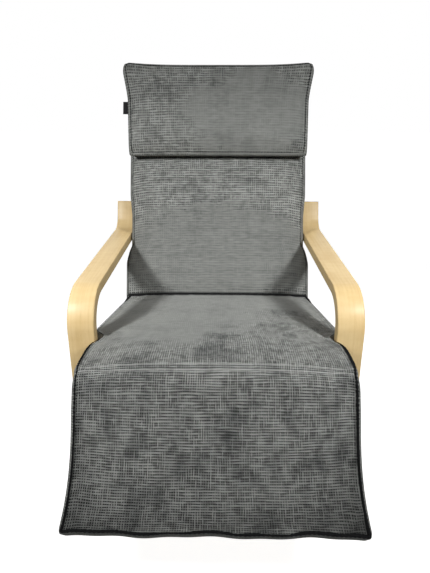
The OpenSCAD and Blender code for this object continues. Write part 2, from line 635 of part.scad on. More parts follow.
pillow_half = cushion_half - boxing_bulge;
function pillow_spread(v) = pillow_flare * pow(v, 6);
module head_pillow() color(fabric) on_back() skin([for (i = [0:pad_rows + 1])
  let(v = i / (pad_rows + 1), tip = i == 0 || i == pad_rows + 1,
    half = pillow_half + pillow_spread(v) - (tip ? seam_roll / 2 : 0),
    y = back_len - pillow_len + pillow_len * v
      + (i == 1 ? seam_roll - pillow_len / (pad_rows + 1) : i == pad_rows ? pillow_len / (pad_rows + 1) - seam_roll : 0),
    sec = section(half, pillow_t, seam_roll, pillow_crown * sin(180 * v), boxing_bulge))
  [for (p = sec) let(pinch = tip ? (p[1] - pillow_t / 2) * (1 - seam_roll * 1.5 / pillow_t) + pillow_t / 2 : p[1],
      horn = i > pad_rows - 1 ? ear_reach * pow(abs(p[0]) / half, 8) : 0)
    [p[0], y + horn, pinch + soft_gap]]]);

module pillow_flap() color(fabric_dark) on_back()
  translate([-cushion_half * 0.6, back_len + soft_gap, -cushion_t * 0.8])
    cube([cushion_half * 1.2, web_t, cushion_t * 0.8 - seam_roll]);
tab_spread = pillow_spread(1 - (tab_drop - tab_len / 2) / pillow_len);
module side_tab() color(fabric_dark) on_back()
  translate([-pillow_half - tab_spread - boxing_bulge - tab_w - soft_gap, back_len - tab_drop - tab_len / 2,
    pillow_t * 0.45])
    cube([tab_w, tab_len, web_t]);

// A strap's loop round a slat, up against the cushion
module strap_loop(wide) translate([-strap_w / 2, 0, 0]) side(0) linear_extrude(strap_w) {
  low = slat_z - slat_t / 2 - slat_bow * (1 - pow((strap_x - strap_w / 2) / rail_in, 2)) - web_t - loose;
  half = wide / 2 + loose;
  difference() {
    translate([-half - web_t, low]) square([2 * (half + web_t), pad_base - soft_gap - low]);
    translate([-half, low + web_t]) square([2 * half, pad_base - soft_gap - low - 2 * web_t]);
  }
}
strap_x = rail_in * 0.6;
module cushion_straps() color(fabric_dark) for (x = [-strap_x, strap_x]) translate([x, 0, 0]) {
  on_seat() translate([0, seat_slat_y(1), 0]) strap_loop(seat_slat_w);
  on_back() translate([0, back_slat_y(4), 0]) strap_loop(back_slat_w);
}

mirrored() side_frame();  // side_frame_left
side_frame();  // side_frame_right
mirrored() seat_back_rail();  // seat_back_rail_left
seat_back_rail();  // seat_back_rail_right
seat_front_bar();
back_top_bar();
front_stretcher();
rear_stretcher();
seat_slat(0);  // seat_slat_1
seat_slat(1);  // seat_slat_2
seat_slat(2);  // seat_slat_3
seat_slat(3);  // seat_slat_4
back_slat(0);  // back_slat_1
back_slat(1);  // back_slat_2
back_slat(2);  // back_slat_3
back_slat(3);  // back_slat_4
back_slat(4);  // back_slat_5
back_slat(5);  // back_slat_6
frame_bolts();
barrel_nuts();
frame_dowels();
floor_glides();
mirrored() seat_plate(frame_half);  // hinge_inner_plate_left
seat_plate(frame_half);  // hinge_inner_plate_right
mirrored() seat_plate(outer_x);  // hinge_outer_plate_left
seat_plate(outer_x);  // hinge_outer_plate_right
hinge_pivot_pins();
hinge_spacers();
hinge_seat_screws();
mirrored() pawl();  // pawl_left
pawl();  // pawl_right
pawl_pins();
mirrored() pawl_spring();  // pawl_spring_left
pawl_spring();  // pawl_spring_right
mirrored() leg_ratchet_plate();  // leg_ratchet_plate_left
leg_ratchet_plate();  // leg_ratchet_plate_right
hinge_leg_screws();
mirrored() leg_rail();  // leg_rail_left
leg_rail();  // leg_rail_right
leg_end_bar();
leg_slat(0);  // leg_slat_1
leg_slat(1);  // leg_slat_2
leg_slat(2);  // leg_slat_3
leg_dowels();
back_cushion();
seat_cushion();
knee_fold();
leg_cushion();
head_pillow();
pillow_flap();
side_tab();
cushion_straps();
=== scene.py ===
import json
import math

import bpy
import numpy as np
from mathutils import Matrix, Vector


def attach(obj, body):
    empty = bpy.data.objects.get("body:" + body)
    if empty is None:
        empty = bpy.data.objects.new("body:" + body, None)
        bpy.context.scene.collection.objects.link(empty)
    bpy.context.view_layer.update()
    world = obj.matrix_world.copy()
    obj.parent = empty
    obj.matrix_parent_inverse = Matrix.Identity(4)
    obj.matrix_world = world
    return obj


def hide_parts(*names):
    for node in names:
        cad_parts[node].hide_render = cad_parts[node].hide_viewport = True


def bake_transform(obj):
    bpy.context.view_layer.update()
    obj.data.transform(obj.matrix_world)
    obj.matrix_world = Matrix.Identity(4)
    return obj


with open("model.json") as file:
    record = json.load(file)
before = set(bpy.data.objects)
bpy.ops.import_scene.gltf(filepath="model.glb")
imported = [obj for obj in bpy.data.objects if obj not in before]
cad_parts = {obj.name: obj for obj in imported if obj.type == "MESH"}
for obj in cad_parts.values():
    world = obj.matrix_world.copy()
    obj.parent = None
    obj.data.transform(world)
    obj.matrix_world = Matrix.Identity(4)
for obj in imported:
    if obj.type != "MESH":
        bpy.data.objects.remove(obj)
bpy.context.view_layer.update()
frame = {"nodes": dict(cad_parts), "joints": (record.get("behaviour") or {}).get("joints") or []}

# The two side frames.
# Each is one strip of birch veneers glued over a mould: floor runner, leg, arm and upturned end. The long edges
# are rounded over, the bolts' heads lie in counterbores, and the finish is a clear satin lacquer.
seat_tilt, back_recline = math.radians(12), math.radians(25.5)
along_seat = np.array([-math.cos(seat_tilt), math.sin(seat_tilt)])
off_seat = np.array([math.sin(seat_tilt), math.cos(seat_tilt)])
along_back = np.array([math.sin(back_recline), math.cos(back_recline)])
joints = {joint["name"]: joint for joint in frame["joints"]}
axis = np.array(joints["leg_rest_hinge"]["pos_m"][1:])
pillow_axis = np.array(joints["head_pillow_flap"]["pos_m"][1:])
back_len, rail_drop = 0.684, 0.1173
crease = pillow_axis - back_len * along_back
heel_turn = math.pi / 2 - back_recline + seat_tilt
heel_trim = rail_drop * math.tan(heel_turn / 2)
heel = crease - heel_trim * along_seat - rail_drop * off_seat
strip_t, strip_w, frame_half, veneer_count = 0.024, 0.062, 0.273, 15
leg_slope, arm_slope = math.tan(math.radians(6.5)), math.tan(math.radians(1.5))
leg_bolt = axis - 0.116 * along_seat


def on_leg_line(z):
    return np.array([leg_bolt[0] + (z - leg_bolt[1]) * leg_slope, z])


toe = on_leg_line(0.003 + strip_t / 2)
arm_front = on_leg_line(0.531 - strip_t / 2)
lean = math.tan(back_recline)
arm_rear_y = (heel[0] + lean * (arm_front[1] - heel[1] + arm_slope * arm_front[0])) / (1 + lean * arm_slope)
arm_rear = np.array([arm_rear_y, arm_front[1] - arm_slope * (arm_rear_y - arm_front[0])])
upturn_top = arm_rear + 0.094 * along_back
runner_end = toe + np.array([0.615, 0])
arm_bolts = [upturn_top - d * along_back for d in (0.014, 0.0392)]
bolt_places = arm_bolts + [leg_bolt, on_leg_line(0.17), runner_end - np.array([0.06, 0])]


def deselect():
    if bpy.context.object and bpy.context.object.mode != "OBJECT":
        bpy.ops.object.mode_set(mode="OBJECT")
    bpy.ops.object.select_all(action="DESELECT")


def only(piece):
    deselect()
    piece.select_set(True)
    bpy.context.view_layer.objects.active = piece


def apply_all(piece):
    only(piece)
    for modifier in list(piece.modifiers):
        bpy.ops.object.modifier_apply(modifier=modifier.name)


def places(piece):
    co = np.empty(len(piece.data.vertices) * 3)
    piece.data.vertices.foreach_get("co", co)
    return co.reshape(-1, 3)


def turned(point, hub, angle):
    c, s = math.cos(angle), math.sin(angle)
    y, z = point - hub
    return hub + np.array([y * c - z * s, y * s + z * c])


def bends(corners, radii):
    """The run as straights and bends: where each straight starts and ends, and its bend's hub and turn."""
    start = corners[0]
    for i in range(1, len(corners)):
        towards = (corners[i] - corners[i - 1]) / np.linalg.norm(corners[i] - corners[i - 1])
        if i == len(corners) - 1:
            yield start, corners[i], None, 0.0
            return
        onward = corners[i + 1] - corners[i]
        turn = math.atan2(towards[0] * onward[1] - towards[1] * onward[0], towards @ onward)
        end = corners[i] - towards * radii[i] * math.tan(abs(turn) / 2)
        hub = end + np.array([-towards[1], towards[0]]) * math.copysign(radii[i], turn)
        yield start, end, hub, turn
        start = turned(end, hub, turn)


def lay_grain(piece, corners, radii, thick):
    """Stores each vertex's place in the strip: along it, across it and through its veneers."""
    line = []
    for start, end, hub, turn in bends(corners, radii):
        count = int(np.linalg.norm(end - start) / 0.002)
        line += [start + (end - start) * k / count for k in range(count)]
        if turn:
            count = int(abs(turn) * np.linalg.norm(end - hub) / 0.002)
            line += [turned(end, hub, turn * k / count) for k in range(count)]
    line = np.array(line + [corners[-1]])
    steps = np.gradient(line, axis=0)
    steps /= np.linalg.norm(steps, axis=1)[:, None]
    run = np.concatenate([[0], np.cumsum(np.linalg.norm(np.diff(line, axis=0), axis=1))])
    co = places(piece)
    near = np.array([np.argmin(((line - p) ** 2).sum(1)) for p in co[:, 1:]])
    off, step = co[:, 1:] - line[near], steps[near]
    through = (off[:, 1] * step[:, 0] - off[:, 0] * step[:, 1]) * strip_t / thick
    grain = np.stack([run[near] + (off * step).sum(1), co[:, 0], through], axis=1)
    layer = piece.data.attributes.new("grain", "FLOAT_VECTOR", "POINT")
    layer.data.foreach_set("vector", grain.astype(np.float32).ravel())


def bend_strip(name, corners, radii, thick, x_in, x_out, rounding):
    """Draws a strip along its run: the end face is extruded down each straight and spun round each bend."""
    deselect()
    towards = corners[1] - corners[0]
    bpy.ops.mesh.primitive_plane_add(size=1, location=((x_in + x_out) / 2, *corners[0]),
        rotation=(math.pi / 2 + math.atan2(towards[1], towards[0]), 0, 0))
    piece = bpy.context.object
    piece.name = piece.data.name = name
    piece.scale = (x_out - x_in, thick, 1)
    bpy.ops.object.transform_apply(location=True, rotation=True, scale=True)
    bpy.ops.object.mode_set(mode="EDIT")
    bpy.ops.mesh.select_all(action="SELECT")
    for start, end, hub, turn in bends(corners, radii):
        bpy.ops.mesh.extrude_region_move(TRANSFORM_OT_translate={"value": (0, *(end - start))})
        if turn:
            bpy.ops.mesh.spin(steps=28, angle=-turn, center=(0, *hub), axis=(1, 0, 0))
    bpy.ops.mesh.select_all(action="SELECT")
    bpy.ops.mesh.remove_doubles(threshold=1e-6)
    bpy.ops.mesh.normals_make_consistent(inside=False)
    bpy.ops.object.mode_set(mode="OBJECT")
    edge = piece.modifiers.new("edge", "BEVEL")
    edge.limit_method, edge.angle_limit = "ANGLE", math.radians(50)
    edge.width, edge.segments = rounding, 4
    apply_all(piece)
    return piece


def bore(piece, mouth, towards, radius, depth):
    """Drills a blind hole into the wood from its mouth."""
    deselect()
    turn = Vector((0, 0, 1)).rotation_difference(Vector(towards)).to_euler()
    bpy.ops.mesh.primitive_cylinder_add(vertices=48, radius=radius, depth=2 * depth, location=mouth, rotation=turn)
    drill = bpy.context.object
    only(piece)
    cut = piece.modifiers.new("bore", "BOOLEAN")
    cut.object, cut.operation, cut.solver = drill, "DIFFERENCE", "EXACT"
    bpy.ops.object.modifier_apply(modifier=cut.name)
    bpy.data.objects.remove(drill)


class Signal:
    """A value on its way through a finish's nodes. Sums and products of signals add Math nodes."""

    def __init__(self, finish, socket):
        self.finish, self.socket = finish, socket

    def math(self, operation, *others):
        return self.finish.node("Math", dict(enumerate((self, *others))), operation=operation)

    def __add__(self, other):
        return self.math("ADD", other)

    def __sub__(self, other):
        return self.math("SUBTRACT", other)

    def __rsub__(self, other):
        return self.math("MULTIPLY_ADD", -1.0, other)

    def __mul__(self, other):
        return self.math("MULTIPLY", other)

    def __truediv__(self, other):
        return self.math("DIVIDE", other)

    __radd__, __rmul__ = __add__, __mul__

    def band(self, low, high):
        """0 at low and 1 at high, smooth between them; high may be the lower of the two."""
        return self.finish.node("MapRange", {"Value": self, "From Min": low, "From Max": high},
            interpolation_type="SMOOTHSTEP")


class Finish:
    """One finish: its material, and the one way in which its nodes are made."""

    def __init__(self, name, **constants):
        self.material = bpy.data.materials.new(name)
        self.material.use_nodes = True
        self.tree = self.material.node_tree
        self.tree.nodes.clear()
        out = self.tree.nodes.new("ShaderNodeOutputMaterial")
        self.shader = self.tree.nodes.new("ShaderNodeBsdfPrincipled")
        self.tree.links.new(self.shader.outputs[0], out.inputs[0])
        for key, value in constants.items():
            self.shader.inputs[key.replace("_", " ")].default_value = value

    def node(self, kind, values=None, out=0, **settings):
        made = self.tree.nodes.new("ShaderNode" + kind)
        for key, value in settings.items():
            setattr(made, key, value)
        for key, value in (values or {}).items():
            if isinstance(value, Signal):
                self.tree.links.new(value.socket, made.inputs[key])
            else:
                made.inputs[key].default_value = value
        return Signal(self, made.outputs[out])

    def mix(self, share, a, b):
        """Colour a where share is 0 and b where it is 1."""
        colours = {i: c if isinstance(c, Signal) else (*c, 1) for i, c in ((6, a), (7, b))}
        return self.node("Mix", {0: share, **colours}, out=2, data_type="RGBA", clamp_factor=True)

    def join(self, x, y, z):
        return self.node("CombineXYZ", {0: x, 1: y, 2: z})

    def split(self, vector):
        return [Signal(self, s) for s in self.node("SeparateXYZ", {0: vector}).socket.node.outputs]

    def noise(self, vector, scale, detail, rough):
        return self.node("TexNoise", {"Vector": vector, "Scale": scale, "Detail": detail, "Roughness": rough})

    def set(self, key, signal):
        self.tree.links.new(signal.socket, self.shader.inputs[key])

    def bump(self, height, strength, distance):
        self.set("Normal", self.node("Bump", {"Height": height, "Strength": strength, "Distance": distance}))


def srgb(*levels):
    return tuple(((c / 255 + 0.055) / 1.055) ** 2.4 for c in levels)


def birch(name, place, light, shade, veneers=False):
    """Pale birch: soft long streaks, cloudy figure, short brown flecks, and veneer lines on a moulded edge."""
    wood = Finish(name, Coat_Roughness=0.35, Specular_IOR_Level=0.3, Coat_Weight=0.07)
    along, across, through = wood.split(place(wood))
    streak = wood.noise(wood.join(along * 3.5, across * 150, through * 150), 1, 4, 0.6)
    cloud = wood.noise(wood.join(along * 9, across * 22, through * 22), 1, 3, 0.6)
    curl = wood.noise(wood.join(along * 70, across * 16, through * 16), 1, 2, 0.5)
    fleck = wood.noise(wood.join(along * 70, across * 1000, through * 1000), 1, 2, 0.5)
    tone = streak.band(0.36, 0.68) * 0.3 + cloud.band(0.35, 0.7) * 0.45 + curl.band(0.35, 0.7) * 0.2
    colour = wood.mix(tone, light, shade)
    colour = wood.mix(fleck.band(0.63, 0.73) * 0.3, colour, tuple(c * 0.5 for c in shade))
    height = streak * 0.3 + fleck * 0.3
    if veneers:
        ply = through * (veneer_count / strip_t)
        line = (ply.math("FRACT") - 0.5).math("ABSOLUTE").band(0.36, 0.47)
        layer = wood.node("TexWhiteNoise", {"W": ply.math("FLOOR")}, noise_dimensions="1D")
        edge = through.math("ABSOLUTE").band(0.01195, 0.0116)
        colour = wood.mix(layer * edge * 0.35, colour, tuple(c * 0.8 for c in shade))
        colour = wood.mix(line * edge * 0.45, colour, tuple(c * 0.4 for c in shade))
        height = height - line * edge * 0.5
    wood.set("Base Color", colour)
    wood.set("Roughness", (streak - 0.5) * 0.2 + 0.4)
    wood.bump(height, 0.12, 0.0003)
    return wood.material


def dress(piece, material):
    piece.data.materials.clear()
    piece.data.materials.append(material)


strip_wood = birch("birch_strip", lambda f: f.node("Attribute", out=1, attribute_name="grain"),
    srgb(227, 201, 150), srgb(209, 178, 124), veneers=True)
side_run = [runner_end, toe, arm_front, arm_rear, upturn_top]
side_radii = [0, 0.084, 0.084, 0.062, 0]
sink_r, sink_depth = 0.0075, 0.005
for side, sign in (("left", -1), ("right", 1)):
    strip = bend_strip("bent_side_" + side, side_run, side_radii, strip_t,
        *sorted((sign * frame_half, sign * (frame_half + strip_w))), 0.0028)
    for place in bolt_places:
        bore(strip, (sign * (frame_half + strip_w), *place), (-sign, 0, 0), sink_r, sink_depth)
    lay_grain(strip, side_run, side_radii, strip_t)
    dress(strip, strip_wood)
    only(strip)
    bpy.ops.object.shade_smooth_by_angle(angle=math.radians(32))
    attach(strip, "chair_frame")
    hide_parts("side_frame_" + side)


# The bent rails that carry seat and back.
# One piece of bent birch on each side runs from the knee, round under the crease and up behind the back. Its
# barrel nuts sit in holes drilled from behind and below.
behind_back = np.array([math.cos(back_recline), -math.sin(back_recline)])
rail_t, rail_in, rail_out, rail_bend_r = 0.026, frame_half - 0.03205, frame_half - 0.00005, 0.09
rail_run = [axis - 0.016 * along_seat, heel, crease + 0.66 * along_back + rail_drop * behind_back]
rail_radii = [0, rail_bend_r, 0]
nut_x, nut_hole_r, nut_hole_depth = frame_half - 0.0145, 0.0062, 0.0075
for side, sign in (("left", -1), ("right", 1)):
    rail = bend_strip("bent_rail_" + side, rail_run, rail_radii, rail_t,
        *sorted((sign * rail_in, sign * rail_out)), 0.0022)
    for place in arm_bolts:
        bore(rail, (sign * nut_x, *(place + behind_back * rail_t / 2)), (0, *-behind_back), nut_hole_r,
            nut_hole_depth)
    bore(rail, (sign * nut_x, *(leg_bolt - off_seat * rail_t / 2)), (0, *off_seat), nut_hole_r, nut_hole_depth)
    lay_grain(rail, rail_run, rail_radii, rail_t)
    dress(rail, strip_wood)
    only(rail)
    bpy.ops.object.shade_smooth_by_angle(angle=math.radians(32))
    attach(rail, "chair_frame")
    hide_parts("seat_back_rail_" + side)


# Slats, cross bars and dowels.
# Straight-grained birch: the slats are bowed and sprung into the rails, the bars are dowelled between them, and
# the two stretchers tie the side frames together.
def object_place(order):
    """Object coordinates, with the grain along the first axis named."""
    def place(finish):
        parts = finish.split(finish.node("TexCoord", out=3))
        return finish.join(*[parts["xyz".index(a)] for a in order])
    return place


cross_wood = birch("birch_cross", object_place("xyz"), srgb(228, 202, 150), srgb(206, 175, 119))
down_wood = birch("birch_down", object_place("zxy"), srgb(228, 202, 150), srgb(206, 175, 119))
nodes = frame["nodes"]
for name, node in nodes.items():
    if "slat" in name or name.endswith(("_bar", "stretcher", "dowels")):
        dress(node, cross_wood)
    elif name.startswith("leg_rail"):
        dress(node, down_wood)


# Hinges, bolts and nuts.
# The hinge plates, pawls and spacers are zinc-plated strip and tube; pins, screws, bolts and nuts are turned and
# plated brighter.
def plated(name, colour, rough, brushed):
    steel = Finish(name, Metallic=1.0)
    x, y, z = steel.split(steel.node("TexCoord", out=3))
    brush = steel.noise(steel.join(x * 90, y * 1400, z * 90), 1, 3, 0.6)
    cloud = steel.noise(steel.join(x * 60, y * 60, z * 60), 1, 3, 0.6)
    steel.set("Base Color", steel.mix(cloud.band(0.35, 0.7), colour, tuple(c * 0.8 for c in colour)))
    steel.set("Roughness", (brush - 0.5) * brushed + (cloud - 0.5) * 0.12 + rough)
    steel.bump(brush, 0.12, 0.0002)
    return steel.material


plate_steel = plated("zinc_plate", srgb(126, 128, 132), 0.5, 0.3)
turned_steel = plated("bright_zinc", srgb(150, 151, 155), 0.38, 0.15)
for name, node in nodes.items():
    if "plate" in name or name in ("pawl_left", "pawl_right", "hinge_spacers"):
        dress(node, plate_steel)
    elif "screws" in name or "pins" in name or name in ("frame_bolts", "barrel_nuts"):
        dress(node, turned_steel)


# Pawl springs.
# Each is bent from steel wire and hugs the pawl's pin. One leg rests on a seat screw's sleeve and the other on the
# pawl's stub, which pushes it along as the pawl lifts.
wire_r, loop_r, spring_x = 0.0006, 0.0038, 0.2797
pawl_pin = axis - 0.026 * along_seat + 0.01092 * off_seat
for side, sign in (("left", -1), ("right", 1)):
    run = [(0.018, -0.0041)] + [(loop_r * math.cos(q), loop_r * math.sin(q)) for q in np.radians(range(90, 361, 15))]
    run = [pawl_pin - a * along_seat + b * off_seat for a, b in run + [(0.0008, -0.0146)]]
    wire = bpy.data.curves.new("wire_spring_" + side, "CURVE")
    wire.dimensions, wire.bevel_depth, wire.bevel_resolution, wire.use_fill_caps = "3D", wire_r, 2, True
    spline = wire.splines.new("POLY")
    fine = [p + (q - p) * k / 8 for p, q in zip(run, run[1:]) for k in range(8)] + run[-1:]
    spline.points.add(len(fine) - 1)
    spline.points.foreach_set("co", np.array([(sign * spring_x, *p, 1) for p in fine]).ravel())
    spring = bpy.data.objects.new("wire_spring_" + side, wire)
    bpy.context.collection.objects.link(spring)
    only(spring)
    bpy.ops.object.convert(target="MESH")
    spring = bpy.context.object
    bpy.ops.object.shade_smooth_by_angle(angle=math.radians(60))
    dress(spring, turned_steel)
    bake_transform(spring)
    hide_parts("pawl_spring_" + side)


# Felt glides.
# Pressed felt pads, glued under the ends of the runners, keep the wood off the floor.
felt = Finish("pressed_felt", Roughness=0.95, Specular_IOR_Level=0.1)
fuzz = felt.noise(felt.node("TexCoord", out=3), 900, 4, 0.7)
felt.set("Base Color", felt.mix(fuzz.band(0.3, 0.7), srgb(62, 58, 54), srgb(92, 86, 80)))
felt.bump(fuzz, 0.6, 0.0006)
dress(nodes["floor_glides"], felt.material)


# Seat, knee and leg rest cushion.
# One long boxed cushion runs from the crease over the knee and down the leg rest, where it flares to two soft
# ears. Two rows of light thread cross it at the knee. It bends as the leg rest lifts.
pad_t, seam_in, wood_gap = 0.104, 0.0055, 0.0003
cloth_w, long_aside = 0.53, 0.0028
leg_hang = math.radians(26)
knee_turn = math.pi / 2 + seat_tilt - leg_hang
along_leg = np.array([-math.sin(leg_hang), -math.cos(leg_hang)])
behind_leg = np.array([math.cos(leg_hang), -math.sin(leg_hang)])
knee_r, leg_len = 0.046, 0.318
knee_trim = rail_drop * math.tan(knee_turn / 2)
knee = axis + knee_trim * along_seat + rail_drop * off_seat
seat_run = float((knee - crease) @ along_seat) - knee_trim
leg_run = leg_len - knee_trim
knee_flat = (rail_drop - knee_r) * math.tan(knee_turn / 2)
knee_run = 2 * knee_flat + knee_r * knee_turn
knee_hub = (rail_drop - knee_r) / math.cos(knee_turn / 2)
long_run = seat_run + knee_run + leg_run


def heel_room(depth):
    """Room under the crease for a cushion's mitred end, at a depth below its upper panel."""
    hub_depth = rail_drop - rail_bend_r
    inner = rail_bend_r - rail_t / 2 - wood_gap
    bend = heel_trim - rail_bend_r * math.tan(heel_turn / 2) \
        + np.sqrt(np.maximum(0, inner ** 2 - np.maximum(0, depth - hub_depth) ** 2))
    return np.minimum(depth * math.tan(heel_turn / 2), np.where(depth < hub_depth, 1.0, bend)) - wood_gap


def crowned(u, w, thick, rise, roll=0.008):
    """Height over the cushion's underside: the upper panel dips at its seams and rises in its middle."""
    return w * (thick - roll + (roll + rise) * (1 - np.abs(2 * u - 1) ** 3.4))


def hump(share):
    """0 where share is 0 or 1 and 1 halfway between, steep at both ends."""
    return np.abs(np.sin(math.pi * np.clip(share, 0, 1))) ** 0.6


def swollen(w):
    """How far the boxing stands out between its two seams, from 0 at them to 1 close under the upper panel."""
    return hump(w ** 4)


def widened(u, w, half, bulge=0.0125):
    """Places across the chair: the seams lie inside the cushion's half-width, and the boxing bulges past it."""
    side = 2 * u - 1
    return side * (half - seam_in) + np.sign(side) * np.abs(side) ** 10 * bulge * swollen(w)


def rounded(x, half, end_in, r):
    """Draws a cushion's corner in to a radius: how far inwards, and how far back from its end."""
    a, b = np.clip(1 - (half - np.abs(x)) / r, 0, 1), np.clip(1 - end_in / r, 0, 1)
    return -np.sign(x) * r * a * (1 - np.sqrt(1 - b * b / 2)), r * b * (1 - np.sqrt(1 - a * a / 2))


def long_place(u, v, w):
    """Lays the cover along the seat, round the knee and down the leg rest. s is the way from the crease and t
    the share of the leg rest. It lies a little to the right and is wider behind and before the frame's legs."""
    s = v * long_run
    t = np.clip((s - seat_run - knee_run) / leg_run, 0, 1)
    side = np.abs(2 * u - 1)
    behind_legs = (0.01 + 0.054 * s) * (1 - np.clip((s - 0.31) / 0.05, 0, 1) ** 2)
    before_legs = 0.0125 * (np.clip((s - 0.391) / 0.03, 0, 1) * np.clip((0.56 - s) / 0.1, 0, 1)) ** 0.7
    half = 0.2675 + (behind_legs + before_legs) * (0.3 + 0.7 * w) \
        + 0.0035 * np.clip((s - seat_run) / knee_run, 0, 1) + 0.026 * t ** 2.6
    x = widened(u, w, half, 0.012 - 0.0015 * t)
    inwards, back = rounded(x, half, leg_run * (1 - t), 0.02)
    rise = 0.012 * (1 - 0.9 * np.clip(1 - s / 0.14, 0, 1) ** 2) * (1 - 0.9 * t ** 5)
    up = crowned(u, w, pad_t, rise)
    depth = pad_t - up
    seat = s - heel_room(np.clip(depth, 0, pad_t)) * np.clip(1 - s / 0.2, 0, 1)
    a = s - seat_run
    phi = np.clip((a - knee_flat) / knee_r, 0, knee_turn) - knee_turn / 2
    bend = knee_turn / 2 + np.arctan2(knee_r * np.sin(phi), knee_hub + knee_r * np.cos(phi))
    bend = np.where(a < knee_flat, np.arctan(a / rail_drop), bend)
    bend = np.where(a > knee_run - knee_flat, knee_turn - np.arctan((knee_run - a) / rail_drop), bend)
    off = np.abs(bend - knee_turn / 2)
    outer = np.where((a > knee_flat) & (a < knee_run - knee_flat),
        knee_hub * np.cos(off) + np.sqrt(np.maximum(0, knee_r ** 2 - (knee_hub * np.sin(off)) ** 2)),
        rail_drop / np.cos(knee_turn / 2 - off))
    reach = rail_drop - pad_t + up + (outer - rail_drop) * w
    tilt = math.pi / 2 - seat_tilt + bend
    wavy = 0.0022 * (np.sin(17 * u) + 0.6 * np.sin(41 * u))
    foot = 0.0165 * swollen(w) - (0.0165 + wavy) * w
    end = 0.007 * side ** 5 * t ** 6 + foot * t ** 30
    leg = knee_trim + leg_run * t + end - back
    y = np.select([s <= seat_run, s <= seat_run + knee_run],
        [crease[0] + seat * along_seat[0] - depth * off_seat[0], axis[0] + reach * np.cos(tilt)],
        knee[0] + leg * along_leg[0] + depth * behind_leg[0])
    z = np.select([s <= seat_run, s <= seat_run + knee_run],
        [crease[1] + seat * along_seat[1] - depth * off_seat[1], axis[1] + reach * np.sin(tilt)],
        knee[1] + leg * along_leg[1] + depth * behind_leg[1])
    return np.stack([x + inwards + long_aside, y, z], axis=1)


def cut_cushion(name, counts, place, size):
    """Sews a box of panels, cut closer towards its sides. place gives x, y, z for u across, v along and w upwards,
    each from 0 to 1."""
    nu, nv, nw = counts
    index, faces, flat = {}, [], []
    steps = [np.arange(n + 1) / n for n in counts]
    steps[0] = steps[0] - 0.08 * np.sin(2 * math.pi * steps[0])
    panels = [
        (nu, nv, lambda a, b: (a, b, nw), (0, 1)), (nv, nu, lambda a, b: (b, a, 0), (0, 1)),
        (nv, nw, lambda a, b: (nu, a, b), (2, 1)), (nw, nv, lambda a, b: (0, b, a), (2, 1)),
        (nu, nw, lambda a, b: (a, 0, b), (0, 2)), (nw, nu, lambda a, b: (b, nv, a), (0, 2)),
    ]
    for na, nb, at, shown in panels:
        for a in range(na):
            for b in range(nb):
                corners = [at(a, b), at(a + 1, b), at(a + 1, b + 1), at(a, b + 1)]
                faces.append([index.setdefault(c, len(index)) for c in corners])
                flat += [[steps[k][c[k]] * size[k] for k in shown] for c in corners]
    share = np.array([[steps[k][c[k]] for k in range(3)] for c in index])
    mesh = bpy.data.meshes.new(name)
    mesh.from_pydata(place(*share.T).tolist(), [], faces)
    piece = bpy.data.objects.new(name, mesh)
    bpy.context.collection.objects.link(piece)
    mesh.uv_layers.new(name="weave").data.foreach_set("uv", np.array(flat, np.float32).ravel())
    return piece, share


def fill_cushion(piece, held, cap):
    """Blows the cover up as cloth, sewn down at the vertices held, and lets no point move further than cap."""
    before, frames = places(piece), 18
    pins = piece.vertex_groups.new(name="held")
    pins.add([int(i) for i in np.nonzero(held)[0]], 1.0, "REPLACE")
    cloth = piece.modifiers.new("fill", "CLOTH")
    settings = cloth.settings
    settings.quality, settings.mass = 6, 0.4
    settings.tension_stiffness = settings.compression_stiffness = 18
    settings.shear_stiffness, settings.bending_stiffness = 8, 0.8
    settings.use_pressure, settings.uniform_pressure_force = True, 4.0
    settings.effector_weights.gravity = 0
    settings.shrink_min = -0.01
    settings.vertex_group_mass = "held"
    cloth.point_cache.frame_start, cloth.point_cache.frame_end = 1, frames
    for step in range(1, frames + 1):
        bpy.context.scene.frame_set(step)
    filled = places(piece.evaluated_get(bpy.context.evaluated_depsgraph_get()))
    move = filled - before
    reach = np.linalg.norm(move, axis=1)
    move *= (np.minimum(reach, cap) / np.maximum(reach, 1e-9))[:, None]
    piece.modifiers.remove(cloth)
    piece.vertex_groups.remove(pins)
    piece.data.vertices.foreach_set("co", (before + move).ravel())
    bpy.context.scene.frame_set(1)


def seam_loop(piece, share, w):
    """Points of the seam round the upper panel (w is 1) or the lower one, in order."""
    def way_round(i):
        a, b, _ = share[i]
        return a if b == 0 else 1 + b if a == 1 else 3 - a if b == 1 else 4 - b

    rim = [i for i, (a, b, c) in enumerate(share) if c == w and (a in (0, 1) or b in (0, 1))]
    return places(piece)[sorted(rim, key=way_round)]


def finish_cushion(piece, seams, cloth):
    """Rounds the cover off and stores each vertex's distance from its nearest seam."""
    soften = piece.modifiers.new("soften", "SUBSURF")
    soften.levels = soften.render_levels = 1
    apply_all(piece)
    bpy.ops.object.shade_smooth()
    co = places(piece)
    near = np.full(len(co), 1.0)
    for loop in seams:
        for part in np.array_split(np.arange(len(co)), 1 + len(co) // 4000):
            gap = np.linalg.norm(co[part][:, None] - loop[None], axis=2).min(1)
            near[part] = np.minimum(near[part], gap)
    piece.data.attributes.new("seam", "FLOAT", "POINT").data.foreach_set("value", near.astype(np.float32))
    dress(piece, cloth)


